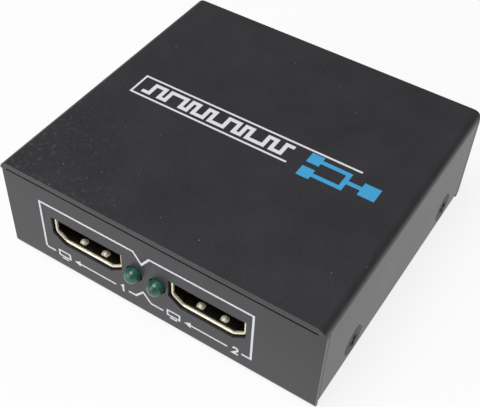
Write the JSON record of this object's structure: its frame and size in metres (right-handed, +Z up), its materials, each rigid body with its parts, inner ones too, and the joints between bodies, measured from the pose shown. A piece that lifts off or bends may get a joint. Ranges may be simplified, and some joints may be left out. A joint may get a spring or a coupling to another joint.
{
  "type": "hdmi splitter",
  "caption": "Small black folded-metal box with video output sockets and status lights on the front panel, an input socket and a power jack at the back.",
  "frame": {"origin": "middle of the underside, on the surface that the box stands on", "axes": "+X to the right along the front, +Y from front to back, +Z up"},
  "size_m": [0.064, 0.0634, 0.0215],
  "materials": {
    "cover_coat": "fine-textured black powder coat, satin",
    "tray_coat": "fine-textured black powder coat, satin",
    "screw_finish": "black zinc, worn in the recess",
    "shell_plate": "pale gold plating on folded sheet",
    "socket_plastic": "black moulded plastic",
    "contact_metal": "gold-plated spring contact",
    "board_laminate": "green solder mask on glass laminate",
    "standoff_metal": "turned brass",
    "tinned_metal": "bright tin plating",
    "jack_plastic": "black moulded plastic",
    "green_lens": "tinted clear resin, unlit",
    "red_lens": "tinted clear resin, unlit",
    "chip_plastic": "black moulding compound",
    "can_aluminium": "drawn aluminium can",
    "ferrite": "grey ferrite",
    "ceramic": "tan ceramic with tinned ends",
    "resistor_film": "black film on white ceramic"
  },
  "bodies": {
    "case": {"top_cover": "cover_coat", "bottom_tray": "tray_coat", "board_standoffs": "standoff_metal", "circuit_board": "board_laminate", "board_screws": "tinned_metal", "output_1_shell": "shell_plate", "output_1_insulator": "socket_plastic", "output_1_contacts": "contact_metal", "output_2_shell": "shell_plate", "output_2_insulator": "socket_plastic", "output_2_contacts": "contact_metal", "input_shell": "shell_plate", "input_insulator": "socket_plastic", "input_contacts": "contact_metal", "jack_housing": "jack_plastic", "jack_centre_pin": "tinned_metal", "jack_spring_terminal": "contact_metal", "output_1_light_lens": "green_lens", "output_1_light_wires": "tinned_metal", "output_2_light_lens": "green_lens", "output_2_light_wires": "tinned_metal", "power_light_lens": "red_lens", "power_light_wires": "tinned_metal", "splitter_chip": "chip_plastic", "splitter_chip_leads": "tinned_metal", "memory_chip": "chip_plastic", "memory_chip_leads": "tinned_metal", "voltage_regulator": "chip_plastic", "voltage_regulator_leads": "tinned_metal", "crystal": "tinned_metal", "power_inductor": "ferrite", "capacitor_bases": "chip_plastic", "capacitor_cans": "can_aluminium", "chip_capacitors": "ceramic", "chip_resistors": "resistor_film"},
    "front_left_screw": {"cover_screw_front_left": "screw_finish"},
    "rear_left_screw": {"cover_screw_rear_left": "screw_finish"},
    "front_right_screw": {"cover_screw_front_right": "screw_finish"},
    "rear_right_screw": {"cover_screw_rear_right": "screw_finish"},
    "plug_spring": {"jack_leaf_spring": "contact_metal"}
  },
  "joints": [
    {"name": "front_left_screw_out", "type": "slide", "parent": "case", "child": "front_left_screw", "axis": [-1, 0, 0], "range_m": [0, 0.006]},
    {"name": "rear_left_screw_out", "type": "slide", "parent": "case", "child": "rear_left_screw", "axis": [-1, 0, 0], "range_m": [0, 0.006]},
    {"name": "front_right_screw_out", "type": "slide", "parent": "case", "child": "front_right_screw", "axis": [1, 0, 0], "range_m": [0, 0.006]},
    {"name": "rear_right_screw_out", "type": "slide", "parent": "case", "child": "rear_right_screw", "axis": [1, 0, 0], "range_m": [0, 0.006]},
    {"name": "plug_spring_flex", "type": "hinge", "parent": "case", "child": "plug_spring", "pos_m": [-0.016, 0.0167, 0.0095], "axis": [-1, 0, 0], "range_deg": [0, 5], "stiffness_Nm_per_rad": 0.05}
  ]
}
